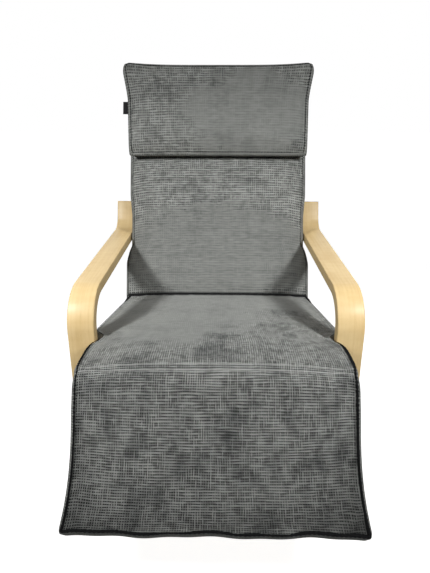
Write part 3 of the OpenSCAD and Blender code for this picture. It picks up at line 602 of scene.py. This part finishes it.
def cushion_cloth(name, cell, highlight_spots, smooth_level, knee_lines=(), soft=0.0, seam_shade=0.7, mottle=(13, 13), dim=None):
    """A coarse grey basket weave: light threads round dark gaps, a cell apart across the chair and a fifth more
    along it. It is heathered. In the spots given, each u, v, radius across and radius along, the weave is
    smoothed away and the cloth is painted lighter, a painted highlight. Elsewhere it is as smooth as soft says.
    The level sets how light the smooth cloth is; it is set per cushion, the back's lower as painted shade.
    mottle is how fine the heathering is across and along, seam_shade how dark the seams are, and knee_lines where
    rows of light thread cross it. dim gives the share of painted shade. u and v are metres on the cloth laid flat."""
    cloth = Finish(name, Specular_IOR_Level=0.15, Sheen_Weight=0.08, Sheen_Roughness=0.5)
    u, v, _ = cloth.split(cloth.node("UVMap", uv_map="weave"))
    wander = cloth.noise(cloth.join(u * 22, v * 30, 0.0), 1, 2, 0.5) - 0.5
    sway = cloth.noise(cloth.join(u * 16, v * 30, 5.0), 1, 2, 0.5) - 0.5
    across, along = u / cell + wander * 0.9, v / (cell * 1.2) + sway * 0.9
    warp = cloth.noise(cloth.join(across.math("FLOOR") * 3.7, v * 45, 1.0), 1, 1, 0.5).band(0.3, 0.66)
    weft = cloth.noise(cloth.join(u * 45, along.math("FLOOR") * 3.7, 2.0), 1, 1, 0.5).band(0.3, 0.66)
    off_warp = (across.math("FRACT") - 0.5).math("ABSOLUTE") - warp * 0.1
    off_weft = (along.math("FRACT") - 0.5).math("ABSOLUTE") - weft * 0.1
    lit = (off_warp.band(0.25, 0.11) * (warp * 0.5 + 0.47)).math("MAXIMUM",
        off_weft.band(0.25, 0.11) * (weft * 0.45 + 0.6))
    patch = cloth.noise(cloth.join(u * mottle[0], v * mottle[1], 3.0), 1, 4, 0.6)
    stripe = cloth.noise(cloth.join(u * 38, v * 5, 7.0), 1, 3, 0.6)
    fine = cloth.noise(cloth.join(u * 700, v * 500, 0.0), 1, 2, 0.6)
    slub = cloth.noise(cloth.join(u * 30, v * 170, 0.0), 1, 2, 0.6)
    smooth = soft
    # Painted highlight: in each spot the weave is smoothed away and the cloth made lighter.
    for cu, cv, ru, rv in highlight_spots:
        du, dv = (u + wander * 0.06 - cu) / ru, (v + sway * 0.05 - cv) / rv
        spot = (du * du + dv * dv + (patch - 0.5) * 1.6).band(1.3, 0.5)
        smooth = spot.math("MAXIMUM", smooth)
    woven = 1 - smooth * 0.85
    # How light the smooth cloth is; in the spots this is the painted highlight.
    flat = slub.band(0.3, 0.7) * 0.12 + smooth_level
    lit = lit * woven + flat * (1 - woven)
    dark = (patch.band(0.46, 0.66) * 0.42 + stripe.band(0.44, 0.66) * 0.22) * (woven * 0.75 + 0.25)
    thread = cloth.mix(fine.band(0.3, 0.7) * 0.5, srgb(178, 180, 175), srgb(150, 153, 150))
    thread = cloth.mix(dark, thread, srgb(56, 60, 63))
    colour = cloth.mix(lit, srgb(12, 13, 14), thread)
    seam = cloth.node("Attribute", out=2, attribute_name="seam").band(0.0026, 0.0008)
    colour = cloth.mix(seam * seam_shade, colour, srgb(24, 24, 26))
    # Painted shade, as much as dim gives.
    if dim:
        colour = cloth.mix(dim(u, v), colour, srgb(12, 13, 14))
    height = lit + fine * 0.15
    for place in knee_lines:
        line = (v - place).math("ABSOLUTE").band(0.0019, 0.0009) * (stripe.band(0.3, 0.6) * 0.5 + 0.5)
        colour = cloth.mix(line * 0.6, colour, srgb(190, 191, 187))
        height = height + line
    cloth.set("Base Color", colour)
    cloth.set("Roughness", fine * 0.1 + 0.84)
    cloth.bump(height, 0.7, 0.0012)
    return cloth.material


cord_cloth = Finish("seam_cord", Specular_IOR_Level=0.12, Roughness=0.92)
twist = cord_cloth.noise(cord_cloth.node("TexCoord", out=3), 800, 3, 0.6)
cord_cloth.set("Base Color", cord_cloth.mix(twist.band(0.4, 0.62), srgb(6, 6, 7), srgb(32, 33, 34)))
cord_cloth.bump(twist, 0.7, 0.0007)


def sew_cord(name, loop, radius):
    """The overlocked cord along a seam, as thick as radius says. Its stitches make it knobbly, less so low down."""
    loop = (np.roll(loop, 1, axis=0) + 2 * loop + np.roll(loop, -1, axis=0)) / 4
    fine = []
    for a, b in zip(loop, np.roll(loop, -1, axis=0)):
        count = max(1, round(float(np.linalg.norm(b - a)) / 0.0028))
        fine += [a + (b - a) * k / count for k in range(count)]
    fine = np.array(fine)
    run = np.concatenate([[0], np.cumsum(np.linalg.norm(np.diff(fine, axis=0), axis=1))])
    knobs = 0.5 - 0.35 * np.clip((0.42 - fine[:, 2]) / 0.1, 0, 1)
    thick = radius(fine) * (1 + knobs * np.sin(run * 2 * math.pi / 0.0085))
    curve = bpy.data.curves.new(name, "CURVE")
    curve.dimensions, curve.bevel_depth, curve.bevel_resolution = "3D", 1.0, 1
    spline = curve.splines.new("POLY")
    spline.points.add(len(fine) - 1)
    spline.points.foreach_set("co", np.hstack([fine, np.ones((len(fine), 1))]).ravel())
    spline.points.foreach_set("radius", thick)
    spline.use_cyclic_u = True
    piece = bpy.data.objects.new(name, curve)
    bpy.context.collection.objects.link(piece)
    only(piece)
    bpy.ops.object.convert(target="MESH")
    piece = bpy.context.object
    bpy.ops.object.shade_smooth()
    dress(piece, cord_cloth.material)
    return piece


def upper_cord_radius(points):
    """Hardly seen on the seat, thick in the crease and below the knee, and thickest low on the right."""
    x, y, z = points.T
    knee = np.clip((-0.24 - y) / 0.04, 0, 1)
    low = np.clip((0.32 - z) / 0.12, 0, 1)
    end = np.clip((0.215 - z) / 0.015, 0, 1)
    rear = np.clip((y - 0.08) / 0.04, 0, 1)
    return 0.0006 + knee * (0.0011 + 0.0008 * np.clip(x / 0.2, 0, 1)) + 0.0008 * low + 0.0006 * end + 0.0026 * rear


def lower_cord_radius(points):
    """Thin under the seat and thicker towards the leg rest's lower end."""
    return 0.0008 + 0.0012 * np.clip((0.32 - points[:, 2]) / 0.12, 0, 1)


long_pad, share = cut_cushion("long_cushion", (60, 130, 8), long_place, (cloth_w, long_run, pad_t))
rim = np.isin(share[:, 0], (0, 1)) | np.isin(share[:, 1], (0, 1))
fill_cushion(long_pad, rim | (share[:, 2] == 0), 0.006)
long_seams = [seam_loop(long_pad, share, w) for w in (1, 0)]
thread_rows = (seat_run + 0.069, seat_run + 0.0835)


def sideways(u):
    """0 in the middle of a cloth's width and 1 at its two seams."""
    return (u - cloth_w / 2).math("ABSOLUTE") / (cloth_w / 2)


def long_painted_shade(u, v):
    """Painted shade: the crease is dark, and the knee, the leg rest's sides, foot and lower right corner darker."""
    crease_shade = v.band(0.012, 0.004) * 0.9
    knee_shade = v.band(0.51, 0.56) * v.band(0.67, 0.61) * 0.1
    side_shade = sideways(u).band(0.7, 1.0) * v.band(0.6, 0.7) * 0.3
    foot_shade = v.band(0.78, 0.87) * 0.2
    corner_shade = u.band(0.34, 0.52) * v.band(0.66, 0.84) * 0.2
    return crease_shade + knee_shade + side_shade + foot_shade + corner_shade


# The long cushion's cloth: painted highlights on the seat, and painted shade in the crease, at the knee and low on
# the leg rest.
finish_cushion(long_pad, long_seams, cushion_cloth("long_cloth", 0.0044,
    [(0.15, 0.23, 0.22, 0.24), (0.3, 0.08, 0.3, 0.14)], 0.59, thread_rows, dim=long_painted_shade))
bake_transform(long_pad)
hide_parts("seat_cushion", "knee_fold", "leg_cushion")
for label, loop, radius in zip(("upper", "lower"), long_seams, (upper_cord_radius, lower_cord_radius)):
    cord = sew_cord("long_seam_" + label, loop, radius)
    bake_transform(cord)


# Back cushion.
# A boxed cushion behind the sitter, crowned in its lower two thirds and flat behind the head pillow. Under the
# arms its sides swell out a little.
pillow_len = 0.26


def back_place(u, v, w):
    """Lays the cover up the back. s is the way from the crease."""
    s = v * back_len
    rise = 0.012 * hump(s / (back_len - pillow_len))
    depth = pad_t - crowned(u, w, pad_t, rise)
    under_arms = 0.018 * np.clip((0.16 - s) / 0.05, 0, 1) ** 0.6 * (0.3 + 0.7 * w)
    half = 0.2635 + under_arms + 0.0062 * np.clip((s - 0.26) / 0.06, 0, 1)
    along = s - heel_room(np.clip(depth, 0, pad_t)) * (1 - v)
    y = crease[0] + along * along_back[0] + depth * behind_back[0]
    z = crease[1] + along * along_back[1] + depth * behind_back[1]
    return np.stack([widened(u, w, half), y, z], axis=1)


def back_painted_shade(u, v):
    """Painted shade: the crease is dark, and so are the lower sides where the arms' shadow falls."""
    return v.band(0.009, 0.003) * 0.9 + sideways(u).band(0.72, 0.95) * v.band(0.22, 0.12) * 0.16


back_pad, share = cut_cushion("back_cushion_cover", (60, 76, 8), back_place, (cloth_w, back_len, pad_t))
rim = np.isin(share[:, 0], (0, 1)) | np.isin(share[:, 1], (0, 1))
fill_cushion(back_pad, rim | (share[:, 2] == 0) | (share[:, 1] > 0.6), 0.0055)
back_seams = [seam_loop(back_pad, share, w) for w in (1, 0)]
# The back's cloth: painted shade in the crease and under the arms, its smooth cloth set darker as painted shade.
finish_cushion(back_pad, back_seams,
    cushion_cloth("back_cloth", 0.0062, [(0.27, 0.13, 0.36, 0.17)], 0.37, soft=0.35, seam_shade=0.35,
        mottle=(8, 36), dim=back_painted_shade))
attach(back_pad, "chair_frame")
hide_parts("back_cushion")
for label, loop in zip(("upper", "lower"), back_seams):
    cord = sew_cord("back_seam_" + label, loop, lambda points: np.full(len(points), 0.0006))
    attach(cord, "chair_frame")


# Head pillow.
# A flatter boxed cushion that hangs over the front of the back from its top edge, with two ears at its upper
# corners. Its lower edge hangs free and shades the cushion behind it.
pillow_t = 0.046


def pillow_place(u, v, w):
    """Lays the cover down the front of the back. v runs from the pillow's free edge up to its sewn one."""
    side = np.abs(2 * u - 1)
    half = 0.2655 + 0.0065 * v + 0.0155 * np.clip((v - 0.63) / 0.34, 0, 1) ** 1.3
    x = widened(u, w, half)
    inwards, back = rounded(x, half, pillow_len * (1 - v), 0.021)
    rise = 0.009 * hump(v)
    thick = pillow_t * (1 - 0.3 * np.clip(1 - v / 0.12, 0, 1) ** 2)
    out = crowned(u, w, thick, rise, roll=0.006) + 0.0005
    top = np.clip((v - 0.5) * 2, 0, 1) ** 20 * (0.011 * swollen(w) + 0.002 * w)
    low = np.clip((0.5 - v) * 2, 0, 1) ** 20 * (0.0085 * swollen(w) - 0.0055 * w)
    along = back_len - pillow_len + 0.002 + (pillow_len - 0.0032) * v + top - low - back
    along = along + 0.014 * side ** 4 * v ** 8 * w
    y = crease[0] + along * along_back[0] - out * behind_back[0]
    z = crease[1] + along * along_back[1] - out * behind_back[1]
    return np.stack([x + inwards, y, z], axis=1)


pillow, share = cut_cushion("head_pillow_cover", (60, 34, 6), pillow_place, (cloth_w, pillow_len, pillow_t))
rim = np.isin(share[:, 0], (0, 1)) | np.isin(share[:, 1], (0, 1))
fill_cushion(pillow, rim | (share[:, 2] == 0), 0.0045)
pillow_seams = [seam_loop(pillow, share, w) for w in (1, 0)]
# The pillow's cloth has one painted highlight spot.
finish_cushion(pillow, pillow_seams,
    cushion_cloth("pillow_cloth", 0.0066, [(0.36, 0.11, 0.22, 0.15)], 0.54, soft=0.4))
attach(pillow, "head_pillow")
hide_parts("head_pillow")
for label, loop in zip(("upper", "lower"), pillow_seams):
    cord = sew_cord("pillow_seam_" + label, loop, lambda points: np.full(len(points), 0.0011))
    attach(cord, "head_pillow")


# Webbing: the pillow's flap, its side tab and the straps under the cushions.
# Black woven tape. The flap is sewn along the top of the back and hinges the pillow, the tab is folded double
# and left bare, and each strap loops round a slat and is stitched to the cushion's underside.
webbing = Finish("black_webbing", Specular_IOR_Level=0.25)
wx, wy, wz = webbing.split(webbing.node("TexCoord", out=3))
rib = ((wx * 2200).math("SINE") * ((wy + wz) * 2600).math("SINE")).band(-0.6, 0.6)
webbing.set("Base Color", webbing.mix(rib, srgb(7, 7, 8), srgb(26, 26, 28)))
webbing.set("Roughness", rib * 0.12 + 0.7)
webbing.bump(rib, 0.4, 0.0004)


def lay_tape(name, path, x_in, x_out, thick):
    """A band of tape: its cut end is drawn out from point to point of its path and given its thickness."""
    deselect()
    bpy.ops.mesh.primitive_plane_add(size=1, location=((x_in + x_out) / 2, path[0][0] - 0.5, path[0][1]))
    piece = bpy.context.object
    piece.name = piece.data.name = name
    piece.scale = (x_out - x_in, 1, 1)
    bpy.ops.object.transform_apply(location=True, rotation=True, scale=True)
    bpy.ops.object.mode_set(mode="EDIT")
    bpy.ops.mesh.select_all(action="DESELECT")
    bpy.ops.object.mode_set(mode="OBJECT")
    for vertex in piece.data.vertices:
        vertex.select = vertex.co.y < path[0][0] - 0.5
    bpy.ops.object.mode_set(mode="EDIT")
    bpy.ops.mesh.delete(type="VERT")
    bpy.ops.mesh.select_all(action="SELECT")
    for a, b in zip(path[:-1], path[1:]):
        bpy.ops.mesh.extrude_region_move(TRANSFORM_OT_translate={"value": (0, *(b - a))})
    bpy.ops.mesh.select_all(action="SELECT")
    bpy.ops.mesh.remove_doubles(threshold=1e-5)
    bpy.ops.mesh.normals_make_consistent(inside=False)
    bpy.ops.object.mode_set(mode="OBJECT")
    wall = piece.modifiers.new("wall", "SOLIDIFY")
    wall.thickness, wall.offset = thick, 0
    edge = piece.modifiers.new("edge", "BEVEL")
    edge.width, edge.segments, edge.limit_method = thick * 0.3, 2, "ANGLE"
    apply_all(piece)
    bpy.ops.object.shade_smooth_by_angle(angle=math.radians(40))
    dress(piece, webbing.material)
    return piece


flap_path = [crease + a * along_back - b * behind_back for a, b in
    [(back_len + 0.0011, -0.083 + 0.0083 * k) for k in range(10)] + [(back_len + 0.0007, -0.002), (back_len, 0.0006)]]
flap = lay_tape("pillow_hinge_flap", flap_path, -0.159, 0.159, 0.0013)
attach(flap, "chair_frame")
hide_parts("pillow_flap")

tab_w, tab_len, tab_t, tab_x = 0.0195, 0.038, 0.0015, -0.2808
tab_at = crease + (back_len - 0.115) * along_back - 0.0214 * behind_back
deselect()
bpy.ops.mesh.primitive_plane_add(size=1, location=(0, 0, 0))
tab = bpy.context.object
tab.name = tab.data.name = "bare_side_tab"
tab.scale = (tab_w, tab_len, 1)
bpy.ops.object.transform_apply(location=True, rotation=True, scale=True)
bpy.ops.object.mode_set(mode="EDIT")
bpy.ops.mesh.select_all(action="SELECT")
bpy.ops.mesh.subdivide(number_cuts=7)
bpy.ops.object.mode_set(mode="OBJECT")
fold = tab.modifiers.new("fold", "SOLIDIFY")
fold.thickness, fold.offset = tab_t, 0
edge = tab.modifiers.new("edge", "BEVEL")
edge.width, edge.segments, edge.limit_method = 0.0006, 3, "ANGLE"
apply_all(tab)
bpy.ops.object.shade_smooth_by_angle(angle=math.radians(40))
tab.location = (tab_x, *tab_at)
tab.rotation_euler = (math.pi / 2 - back_recline, 0, 0)
only(tab)
bpy.ops.object.transform_apply(location=True, rotation=True, scale=True)
dress(tab, webbing.material)
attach(tab, "head_pillow")
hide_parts("side_tab")

strap_x, strap_w, slat_t, slat_gap, slat_bow = rail_in * 0.6, 0.03, 0.008, 0.003, 0.014
strap_high = -pad_t - 0.0011
strap_low = -pad_t - slat_gap - slat_t - slat_bow * (1 - ((strap_x - strap_w / 2) / rail_in) ** 2) - 0.001
strap_turn = 0.003
for label, along, out, slat_at, half in (("seat", along_seat, off_seat, 0.14505, 0.0281),
        ("back", along_back, -behind_back, 0.452, 0.0271)):
    ring = []
    for i, (a, b) in enumerate(((half, strap_high), (-half, strap_high), (-half, strap_low), (half, strap_low))):
        mid = np.array([slat_at + a - math.copysign(strap_turn, a), b - strap_turn * (1 if i < 2 else -1)])
        for q in np.radians(90 * i + np.array([0, 30, 60, 90])):
            p = mid + strap_turn * np.array([math.cos(q), math.sin(q)])
            ring.append(crease + p[0] * along + p[1] * out)
    for side, sign in (("left", -1), ("right", 1)):
        strap = lay_tape(f"{label}_strap_{side}", ring + ring[:1],
            sign * strap_x - strap_w / 2, sign * strap_x + strap_w / 2, 0.0014)
        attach(strap, "chair_frame")
        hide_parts("cushion_straps")


# Camera, lamps and floor.
# The camera stands a centimetre to the right of the chair's middle, is turned back to it and looks down 25
# degrees. Two soft lamps in front of the chair are aimed at the arms, and one hangs overhead.
camera_data = bpy.data.cameras.new("camera")
camera = bpy.data.objects.new("camera", camera_data)
bpy.context.collection.objects.link(camera)
camera.location = (0.0114, -1.100229, 0.970)
camera.rotation_euler = (math.radians(65), 0, math.radians(0.8))
focal_px, picture_h = 450, 573
camera_data.sensor_width = 36
camera_data.lens = camera_data.sensor_width * focal_px / picture_h
bpy.context.scene.camera = camera


def softbox(name, at, towards, size, watts, spread=180):
    data = bpy.data.lights.new(name, "AREA")
    data.energy, data.size, data.spread = watts, size, math.radians(spread)
    lamp = bpy.data.objects.new(name, data)
    bpy.context.collection.objects.link(lamp)
    lamp.location = at
    lamp.rotation_euler = (Vector(towards) - Vector(at)).to_track_quat("-Z", "Y").to_euler()


for side, sign in (("left", -1), ("right", 1)):
    softbox("lamp_" + side, (sign * 1.2, -1.0, 1.7), (sign * 0.38, -0.08, 0.57), 0.3, 3.95, 60)
softbox("lamp_over", (0, -0.3, 2.3), (0, -0.1, 0.4), 1.2, 1.2)


def white_for_eyes(tree):
    """1 for rays from the camera, from gloss and through glass, and 0 for the rays that light things."""
    ray = tree.nodes.new("ShaderNodeLightPath")
    seen = ray.outputs["Is Camera Ray"]
    for other in ("Is Glossy Ray", "Is Transmission Ray"):
        either = tree.nodes.new("ShaderNodeMath")
        either.operation = "MAXIMUM"
        tree.links.new(seen, either.inputs[0])
        tree.links.new(ray.outputs[other], either.inputs[1])
        seen = either.outputs[0]
    return seen


studio = bpy.data.worlds.new("studio")
bpy.context.scene.world = studio
studio.use_nodes = True
tree = studio.node_tree
tree.nodes.clear()
level = tree.nodes.new("ShaderNodeMapRange")
level.inputs["To Min"].default_value = 0.045
tree.links.new(white_for_eyes(tree), level.inputs["Value"])
sky = tree.nodes.new("ShaderNodeBackground")
sky.inputs["Color"].default_value = (1, 1, 1, 1)
tree.links.new(level.outputs[0], sky.inputs["Strength"])
tree.links.new(sky.outputs[0], tree.nodes.new("ShaderNodeOutputWorld").inputs[0])

deselect()
bpy.ops.mesh.primitive_plane_add(size=16, location=(0, 0, 0))
floor = bpy.context.object
floor.name = "floor"
ground = bpy.data.materials.new("pale_floor")
ground.use_nodes = True
tree = ground.node_tree
tree.nodes.clear()
matt = tree.nodes.new("ShaderNodeBsdfDiffuse")
matt.inputs["Color"].default_value = (0.72, 0.72, 0.72, 1)
place = tree.nodes.new("ShaderNodeTexCoord")
reach = tree.nodes.new("ShaderNodeVectorMath")
reach.operation = "LENGTH"
tree.links.new(place.outputs["Object"], reach.inputs[0])
fade = tree.nodes.new("ShaderNodeMapRange")
fade.interpolation_type = "SMOOTHSTEP"
fade.inputs["From Min"].default_value, fade.inputs["From Max"].default_value = 0.9, 2.6
fade.inputs["To Min"].default_value, fade.inputs["To Max"].default_value = 0.93, 1.0
tree.links.new(reach.outputs["Value"], fade.inputs["Value"])
glow = tree.nodes.new("ShaderNodeEmission")
tree.links.new(fade.outputs[0], glow.inputs["Strength"])
both = tree.nodes.new("ShaderNodeAddShader")
lift = tree.nodes.new("ShaderNodeMixShader")
tree.links.new(matt.outputs[0], both.inputs[0])
tree.links.new(glow.outputs[0], both.inputs[1])
tree.links.new(white_for_eyes(tree), lift.inputs[0])
tree.links.new(matt.outputs[0], lift.inputs[1])
tree.links.new(both.outputs[0], lift.inputs[2])
tree.links.new(lift.outputs[0], tree.nodes.new("ShaderNodeOutputMaterial").inputs[0])
dress(floor, ground)

bpy.context.scene.view_settings.view_transform = "Standard"
